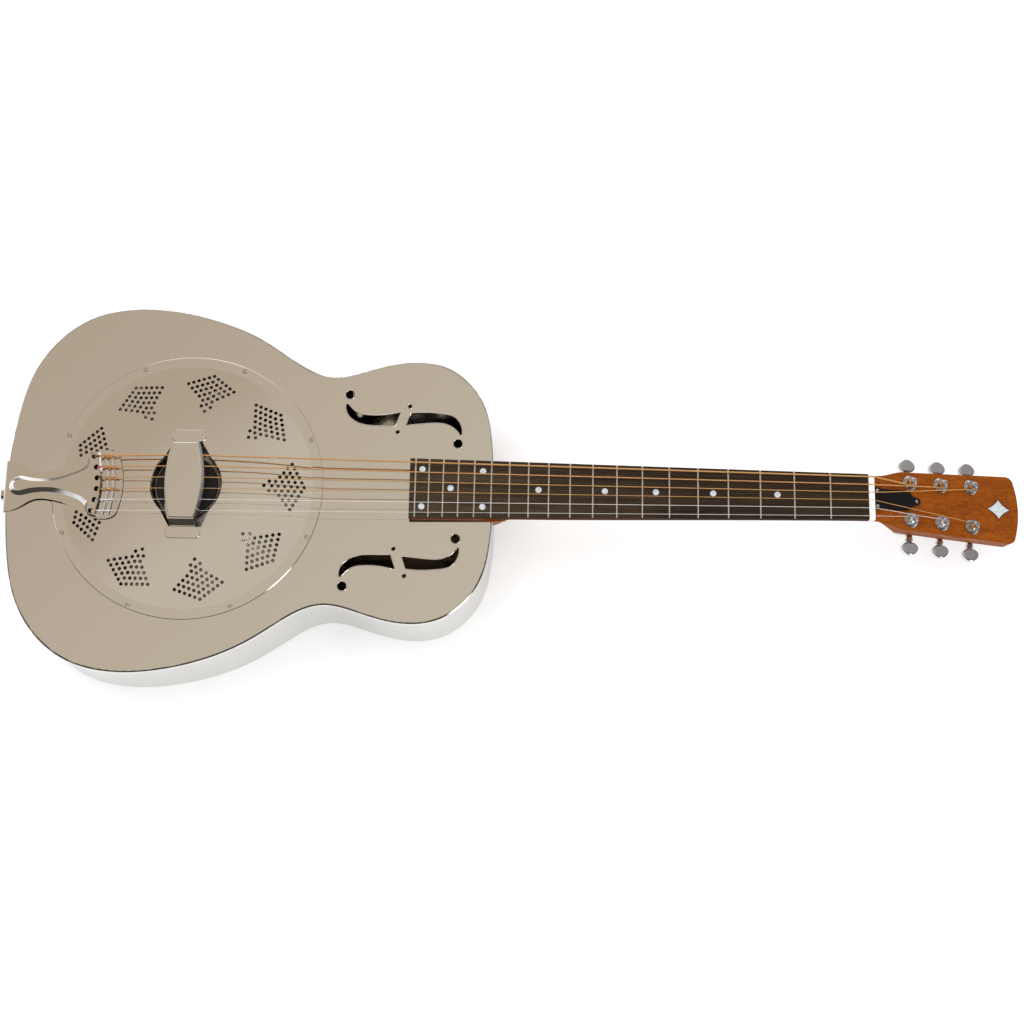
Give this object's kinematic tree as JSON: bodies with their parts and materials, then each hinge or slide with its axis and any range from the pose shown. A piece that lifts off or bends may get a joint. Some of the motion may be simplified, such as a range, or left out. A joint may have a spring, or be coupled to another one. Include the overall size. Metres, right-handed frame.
{
  "type": "resonator guitar",
  "caption": "Metal-bodied resonator guitar with f-shaped sound holes, a pierced round coverplate over a spun cone, a slim wooden neck and geared tuners.",
  "frame": {"origin": "on the flat back of the body, under the centre of the round coverplate", "axes": "+X along the strings towards the headstock, +Y towards the bass side, +Z out of the top towards the player"},
  "size_m": [0.9766, 0.3552, 0.1115],
  "materials": {
    "nickel_plate": "polished nickel plate over sheet metal, slightly warm",
    "spun_aluminium": "bright spun finish with fine rings",
    "stained_maple": "black stain, satin",
    "maple": "plain, unfinished",
    "steel": "machined",
    "nickel_screws": "bright plate",
    "mahogany": "orange-brown gloss lacquer over straight grain",
    "rosewood": "oiled dark rosewood",
    "fret_wire": "polished nickel silver",
    "pearl": "pale pearl inlay",
    "bone": "ivory-coloured, lightly polished",
    "black_plastic": "gloss black sheet",
    "chrome_tuner": "die-cast, chrome plated",
    "plain_steel": "plain drawn wire",
    "bronze_wound": "phosphor bronze wrap"
  },
  "bodies": {
    "guitar": {"body_top": "nickel_plate", "body_sides": "nickel_plate", "body_back": "nickel_plate", "soundwell": "nickel_plate", "resonator_cone": "spun_aluminium", "biscuit": "stained_maple", "saddle": "maple", "biscuit_screw": "steel", "coverplate": "nickel_plate", "coverplate_screws": "nickel_screws", "palm_rest": "nickel_plate", "tailpiece": "nickel_plate", "end_pin": "nickel_screws", "neck": "mahogany", "neck_stick": "maple", "stick_blocks": "maple", "fretboard": "rosewood", "frets": "fret_wire", "position_dots": "pearl", "nut": "bone", "truss_rod": "steel", "truss_rod_cover": "black_plastic", "truss_cover_screws": "nickel_screws", "tuner_housings": "chrome_tuner", "tuner_covers": "chrome_tuner", "tuner_bushings": "chrome_tuner", "tuner_screws": "chrome_tuner", "string_1_plain": "plain_steel", "string_2_plain": "plain_steel", "string_3_wound": "bronze_wound", "string_4_wound": "bronze_wound", "string_5_wound": "bronze_wound", "string_6_wound": "bronze_wound"},
    "tuner_1_knob": {"tuner_1_button": "chrome_tuner", "tuner_1_worm_shaft": "steel"},
    "tuner_1_spindle": {"tuner_1_post": "chrome_tuner", "tuner_1_winding": "bronze_wound"},
    "tuner_2_knob": {"tuner_2_button": "chrome_tuner", "tuner_2_worm_shaft": "steel"},
    "tuner_2_spindle": {"tuner_2_post": "chrome_tuner", "tuner_2_winding": "bronze_wound"},
    "tuner_3_knob": {"tuner_3_button": "chrome_tuner", "tuner_3_worm_shaft": "steel"},
    "tuner_3_spindle": {"tuner_3_post": "chrome_tuner", "tuner_3_winding": "bronze_wound"},
    "tuner_4_knob": {"tuner_4_button": "chrome_tuner", "tuner_4_worm_shaft": "steel"},
    "tuner_4_spindle": {"tuner_4_post": "chrome_tuner", "tuner_4_winding": "plain_steel"},
    "tuner_5_knob": {"tuner_5_button": "chrome_tuner", "tuner_5_worm_shaft": "steel"},
    "tuner_5_spindle": {"tuner_5_post": "chrome_tuner", "tuner_5_winding": "plain_steel"},
    "tuner_6_knob": {"tuner_6_button": "chrome_tuner", "tuner_6_worm_shaft": "steel"},
    "tuner_6_spindle": {"tuner_6_post": "chrome_tuner", "tuner_6_winding": "bronze_wound"},
    "truss_nut": {"truss_rod_nut": "steel"}
  },
  "joints": [
    {"name": "tuner_1_turn", "type": "hinge", "parent": "guitar", "child": "tuner_1_knob", "pos_m": [0.68158, 0.0179, 0.05677], "axis": [0, 1, 0], "continuous": true},
    {"name": "tuner_1_post_turn", "type": "hinge", "parent": "guitar", "child": "tuner_1_spindle", "pos_m": [0.67982, 0.0179, 0.07829], "axis": [0.2509, 0, 0.968], "continuous": true},
    {"name": "tuner_2_turn", "type": "hinge", "parent": "guitar", "child": "tuner_2_knob", "pos_m": [0.71216, 0.0184, 0.04884], "axis": [0, 1, 0], "continuous": true},
    {"name": "tuner_2_post_turn", "type": "hinge", "parent": "guitar", "child": "tuner_2_spindle", "pos_m": [0.71041, 0.0184, 0.07036], "axis": [0.2509, 0, 0.968], "continuous": true},
    {"name": "tuner_3_turn", "type": "hinge", "parent": "guitar", "child": "tuner_3_knob", "pos_m": [0.74266, 0.0193, 0.04093], "axis": [0, 1, 0], "continuous": true},
    {"name": "tuner_3_post_turn", "type": "hinge", "parent": "guitar", "child": "tuner_3_spindle", "pos_m": [0.7409, 0.0193, 0.06246], "axis": [0.2509, 0, 0.968], "continuous": true},
    {"name": "tuner_4_turn", "type": "hinge", "parent": "guitar", "child": "tuner_4_knob", "pos_m": [0.68158, -0.0179, 0.05677], "axis": [0, -1, 0], "continuous": true},
    {"name": "tuner_4_post_turn", "type": "hinge", "parent": "guitar", "child": "tuner_4_spindle", "pos_m": [0.67982, -0.0179, 0.07829], "axis": [0.2509, 0, 0.968], "continuous": true},
    {"name": "tuner_5_turn", "type": "hinge", "parent": "guitar", "child": "tuner_5_knob", "pos_m": [0.71216, -0.0184, 0.04884], "axis": [0, -1, 0], "continuous": true},
    {"name": "tuner_5_post_turn", "type": "hinge", "parent": "guitar", "child": "tuner_5_spindle", "pos_m": [0.71041, -0.0184, 0.07036], "axis": [0.2509, 0, 0.968], "continuous": true},
    {"name": "tuner_6_turn", "type": "hinge", "parent": "guitar", "child": "tuner_6_knob", "pos_m": [0.74266, -0.0193, 0.04093], "axis": [0, -1, 0], "continuous": true},
    {"name": "tuner_6_post_turn", "type": "hinge", "parent": "guitar", "child": "tuner_6_spindle", "pos_m": [0.7409, -0.0193, 0.06246], "axis": [0.2509, 0, 0.968], "continuous": true},
    {"name": "truss_nut_turn", "type": "hinge", "parent": "guitar", "child": "truss_nut", "pos_m": [0.64937, 0, 0.07982], "axis": [1, 0, -0.0093], "range_deg": [-180, 180]}
  ],
  "couplings": [
    {"joint": "tuner_1_post_turn", "follows": "tuner_1_turn", "ratio": -0.071429},
    {"joint": "tuner_2_post_turn", "follows": "tuner_2_turn", "ratio": -0.071429},
    {"joint": "tuner_3_post_turn", "follows": "tuner_3_turn", "ratio": -0.071429},
    {"joint": "tuner_4_post_turn", "follows": "tuner_4_turn", "ratio": -0.071429},
    {"joint": "tuner_5_post_turn", "follows": "tuner_5_turn", "ratio": -0.071429},
    {"joint": "tuner_6_post_turn", "follows": "tuner_6_turn", "ratio": -0.071429}
  ]
}
